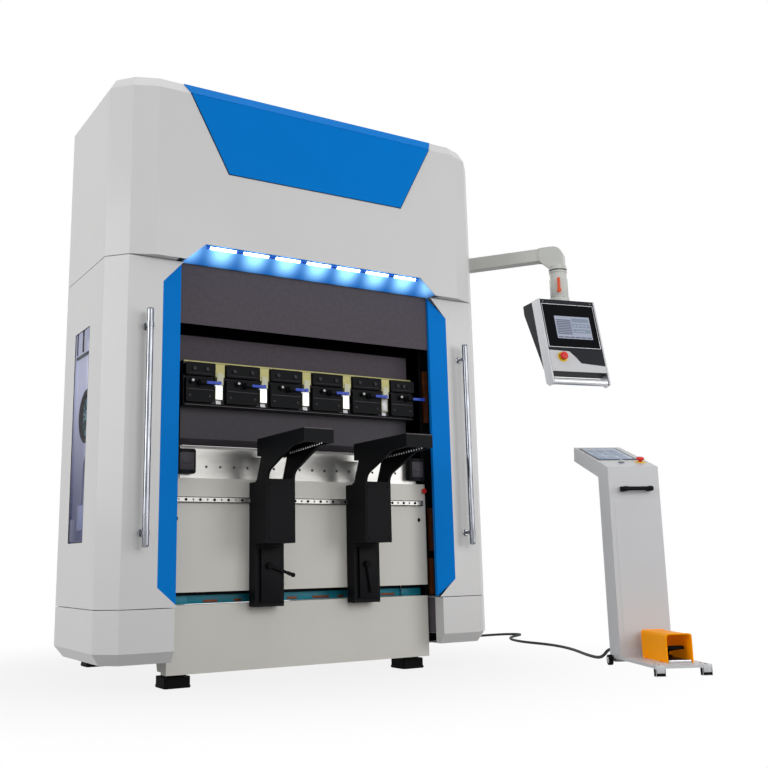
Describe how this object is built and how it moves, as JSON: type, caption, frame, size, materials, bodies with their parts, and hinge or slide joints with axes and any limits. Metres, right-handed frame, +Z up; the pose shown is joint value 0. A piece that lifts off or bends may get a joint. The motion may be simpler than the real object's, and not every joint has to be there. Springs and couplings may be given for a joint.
{
  "type": "electric press brake",
  "caption": "Electric press brake with a curved hood, swing-open side covers, sheet support arms, a back gauge, a pendant on a swivel arm and a pedestal console with foot pedal.",
  "frame": {"origin": "on the floor, midway between the four anchor bolt holes of the machine feet", "axes": "+Z up, the working front faces -Y, +X to the right as the operator sees it when facing the machine from the front"},
  "size_m": [2.9819, 2.1616, 2.3979],
  "materials": {
    "cover_white": "satin powder coat",
    "frame_paint": "satin paint",
    "blue_paint": "gloss paint",
    "light_blue": "gloss paint",
    "dark_paint": "satin paint",
    "black_metal": "satin paint",
    "arm_paint": "satin paint",
    "console_paint": "satin paint",
    "orange_paint": "gloss paint",
    "steel": "ground",
    "dark_steel": "blackened",
    "chrome": "polished",
    "brass": "satin",
    "charcoal": "fine texture",
    "lamp": "lit diffuser",
    "screen": "glossy glass-like",
    "glass": "tinted clear",
    "lever_blue": "gloss",
    "red_plastic": "gloss",
    "rubber": "matte",
    "cable": "matte sheath"
  },
  "bodies": {
    "press": {"side_frames": "frame_paint", "cross_beams": "frame_paint", "levelling_feet": "rubber", "base_plate": "frame_paint", "bed_plate": "frame_paint", "table_beam": "steel", "die": "steel", "end_blocks": "black_metal", "front_rail": "steel", "drive_units": "black_metal", "gauge_base": "dark_steel", "hood": "cover_white", "header_panel": "blue_paint", "light_bar": "light_blue", "lamps": "lamp", "upper_cover": "dark_paint", "leg_covers": "cover_white", "console_column": "console_paint", "console_base": "console_paint", "console_screen": "screen", "console_handle": "black_metal", "pedal_guard": "orange_paint", "cable": "cable"},
    "left_door": {"left_door": "cover_white", "left_trim": "blue_paint", "left_window": "glass", "left_handle": "chrome"},
    "right_door": {"right_door": "cover_white", "right_trim": "blue_paint", "right_window": "glass", "right_handle": "chrome"},
    "ram": {"ram": "dark_paint", "tool_holder": "dark_steel", "clamp_blocks": "black_metal", "clamp_spacers": "brass", "punch": "dark_steel"},
    "left_screw": {"left_ball_screw": "steel"},
    "right_screw": {"right_ball_screw": "steel"},
    "left_arm": {"left_support_arm": "black_metal"},
    "left_arm_lever": {"left_arm_lever": "black_metal"},
    "right_arm": {"right_support_arm": "black_metal"},
    "right_arm_lever": {"right_arm_lever": "black_metal"},
    "gauge_beam": {"gauge_beam": "dark_steel"},
    "left_finger": {"left_gauge_finger": "steel"},
    "right_finger": {"right_gauge_finger": "steel"},
    "pendant_arm": {"pendant_arm": "arm_paint"},
    "pendant": {"pendant_case": "charcoal", "pendant_screen": "screen"},
    "pendant_lever": {"pendant_lever": "red_plastic"},
    "pendant_stop": {"pendant_stop": "red_plastic"},
    "console_stop": {"console_stop": "red_plastic"},
    "console_button": {"console_button": "chrome"},
    "console_wheels": {"console_wheels": "rubber"},
    "pedal": {"pedal": "black_metal"},
    "clamp_lever_1": {"clamp_lever_1": "lever_blue"},
    "clamp_lever_2": {"clamp_lever_2": "lever_blue"},
    "clamp_lever_3": {"clamp_lever_3": "lever_blue"},
    "clamp_lever_4": {"clamp_lever_4": "lever_blue"},
    "clamp_lever_5": {"clamp_lever_5": "lever_blue"},
    "clamp_lever_6": {"clamp_lever_6": "lever_blue"}
  },
  "joints": [
    {"name": "ram_slide", "type": "slide", "parent": "press", "child": "ram", "axis": [0, 0, 1], "range_m": [0, 0.15]},
    {"name": "left_screw_turn", "type": "hinge", "parent": "press", "child": "left_screw", "pos_m": [-0.33, -0.44, 2], "axis": [0, 0, 1], "range_deg": [0, 2701]},
    {"name": "right_screw_turn", "type": "hinge", "parent": "press", "child": "right_screw", "pos_m": [0.33, -0.44, 2], "axis": [0, 0, 1], "range_deg": [0, 2701]},
    {"name": "left_door_hinge", "type": "hinge", "parent": "press", "child": "left_door", "pos_m": [-0.875, -0.12, 0.9], "axis": [0, 0, 1], "range_deg": [-95, 0]},
    {"name": "right_door_hinge", "type": "hinge", "parent": "press", "child": "right_door", "pos_m": [0.875, -0.12, 0.9], "axis": [0, 0, 1], "range_deg": [0, 95]},
    {"name": "clamp_lever_1_turn", "type": "hinge", "parent": "ram", "child": "clamp_lever_1", "pos_m": [-0.49, -0.61, 1.175], "axis": [0, 1, 0], "range_deg": [-80, 0]},
    {"name": "clamp_lever_2_turn", "type": "hinge", "parent": "ram", "child": "clamp_lever_2", "pos_m": [-0.29, -0.61, 1.175], "axis": [0, 1, 0], "range_deg": [-80, 0]},
    {"name": "clamp_lever_3_turn", "type": "hinge", "parent": "ram", "child": "clamp_lever_3", "pos_m": [-0.09, -0.61, 1.175], "axis": [0, 1, 0], "range_deg": [-80, 0]},
    {"name": "clamp_lever_4_turn", "type": "hinge", "parent": "ram", "child": "clamp_lever_4", "pos_m": [0.11, -0.61, 1.175], "axis": [0, 1, 0], "range_deg": [-80, 0]},
    {"name": "clamp_lever_5_turn", "type": "hinge", "parent": "ram", "child": "clamp_lever_5", "pos_m": [0.31, -0.61, 1.175], "axis": [0, 1, 0], "range_deg": [-80, 0]},
    {"name": "clamp_lever_6_turn", "type": "hinge", "parent": "ram", "child": "clamp_lever_6", "pos_m": [0.51, -0.61, 1.175], "axis": [0, 1, 0], "range_deg": [-80, 0]},
    {"name": "left_arm_slide", "type": "slide", "parent": "press", "child": "left_arm", "axis": [1, 0, 0], "range_m": [-0.3, 0.12]},
    {"name": "right_arm_slide", "type": "slide", "parent": "press", "child": "right_arm", "axis": [1, 0, 0], "range_m": [-0.12, 0.25]},
    {"name": "left_arm_lever_turn", "type": "hinge", "parent": "left_arm", "child": "left_arm_lever", "pos_m": [-0.212, -0.67, 0.45], "axis": [0, 1, 0], "range_deg": [-60, 30]},
    {"name": "right_arm_lever_turn", "type": "hinge", "parent": "right_arm", "child": "right_arm_lever", "pos_m": [0.242, -0.67, 0.45], "axis": [0, 1, 0], "range_deg": [-90, 30]},
    {"name": "gauge_slide", "type": "slide", "parent": "press", "child": "gauge_beam", "axis": [0, 1, 0], "range_m": [-0.16, 0.3]},
    {"name": "left_finger_slide", "type": "slide", "parent": "gauge_beam", "child": "left_finger", "axis": [1, 0, 0], "range_m": [-0.12, 0.12]},
    {"name": "right_finger_slide", "type": "slide", "parent": "gauge_beam", "child": "right_finger", "axis": [1, 0, 0], "range_m": [-0.12, 0.12]},
    {"name": "pendant_arm_turn", "type": "hinge", "parent": "press", "child": "pendant_arm", "pos_m": [0.95579, -0.34724, 1.92], "axis": [0, 0, 1], "range_deg": [-30, 15]},
    {"name": "pendant_swivel", "type": "hinge", "parent": "pendant_arm", "child": "pendant", "pos_m": [1.292, -0.81, 1.8], "axis": [0, 0, 1], "range_deg": [-40, 40]},
    {"name": "pendant_lever_turn", "type": "hinge", "parent": "pendant", "child": "pendant_lever", "pos_m": [1.25139, -0.85417, 1.722], "axis": [0.6769, 0.7361, 0], "range_deg": [-60, 60]},
    {"name": "pendant_stop_push", "type": "slide", "parent": "pendant", "child": "pendant_stop", "axis": [0.2126, 0.9509, -0.225], "range_m": [0, 0.005], "stiffness_N_per_m": 400, "springref_m": -0.003},
    {"name": "console_stop_push", "type": "slide", "parent": "press", "child": "console_stop", "axis": [0.125, 0.2681, -0.9553], "range_m": [0, 0.005], "stiffness_N_per_m": 400, "springref_m": -0.003},
    {"name": "console_button_push", "type": "slide", "parent": "press", "child": "console_button", "axis": [0.125, 0.2681, -0.9553], "range_m": [0, 0.003], "stiffness_N_per_m": 300, "springref_m": -0.003},
    {"name": "console_wheels_turn", "type": "hinge", "parent": "press", "child": "console_wheels", "pos_m": [1.3888, -1.0576, 0.022], "axis": [0.9063, -0.4226, 0], "continuous": true},
    {"name": "pedal_press", "type": "hinge", "parent": "press", "child": "pedal", "pos_m": [1.33351, -1.22822, 0.066], "axis": [0.9063, -0.4226, 0], "range_deg": [0, 8], "stiffness_Nm_per_rad": 8, "springref_deg": -8.59}
  ],
  "couplings": [
    {"joint": "left_screw_turn", "follows": "ram_slide", "rad_per_m": 314.16},
    {"joint": "right_screw_turn", "follows": "ram_slide", "rad_per_m": 314.16}
  ]
}
